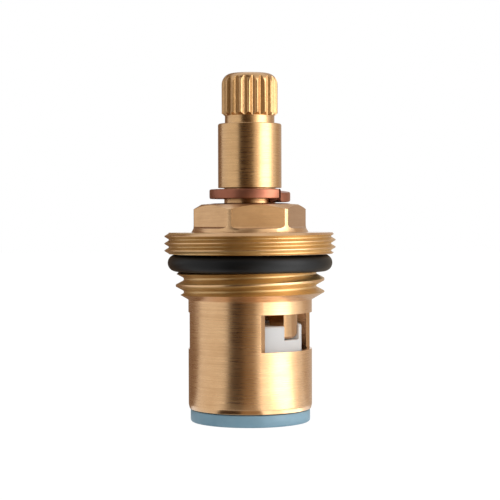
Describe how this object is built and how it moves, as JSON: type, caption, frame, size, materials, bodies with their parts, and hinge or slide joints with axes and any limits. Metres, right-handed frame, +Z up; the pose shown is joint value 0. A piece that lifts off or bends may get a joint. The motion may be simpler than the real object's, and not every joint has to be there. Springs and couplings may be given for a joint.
{
  "type": "ceramic disc tap cartridge",
  "caption": "Quarter-turn ceramic disc tap cartridge: brass body with flange, thread and outlet windows, splined spindle, retaining clip, O-ring and seat seal.",
  "frame": {"origin": "centre of the seat seal's bottom face, which the cartridge stands on", "axes": "+Z up the spindle's axis to the splined end; -Y faces the viewer of the picture and +X is to the viewer's right"},
  "size_m": [0.024, 0.024, 0.0487],
  "materials": {
    "body_brass": "turned, bare",
    "spindle_brass": "turned, bare",
    "clip_copper": "copper-plated spring stock",
    "flange_o_ring_rubber": "smooth black",
    "stem_o_ring_rubber": "smooth black",
    "moving_ceramic": "ground white alumina",
    "fixed_ceramic": "ground white alumina",
    "seal_rubber": "light blue",
    "support_plastic": "moulded white",
    "washer_plastic": "punched white"
  },
  "bodies": {
    "housing": {"valve_body": "body_brass", "flange_o_ring": "flange_o_ring_rubber", "friction_washer": "washer_plastic", "fixed_disc": "fixed_ceramic", "seat_seal": "seal_rubber", "seal_support_ring": "support_plastic"},
    "spindle_assembly": {"spindle": "spindle_brass", "retaining_clip": "clip_copper", "spindle_o_ring_upper": "stem_o_ring_rubber", "spindle_o_ring_lower": "stem_o_ring_rubber", "rotating_disc": "moving_ceramic"}
  },
  "joints": [
    {"name": "spindle_turn", "type": "hinge", "parent": "housing", "child": "spindle_assembly", "pos_m": [0, 0, 0.0305], "axis": [0, 0, 1], "range_deg": [0, 90]}
  ]
}
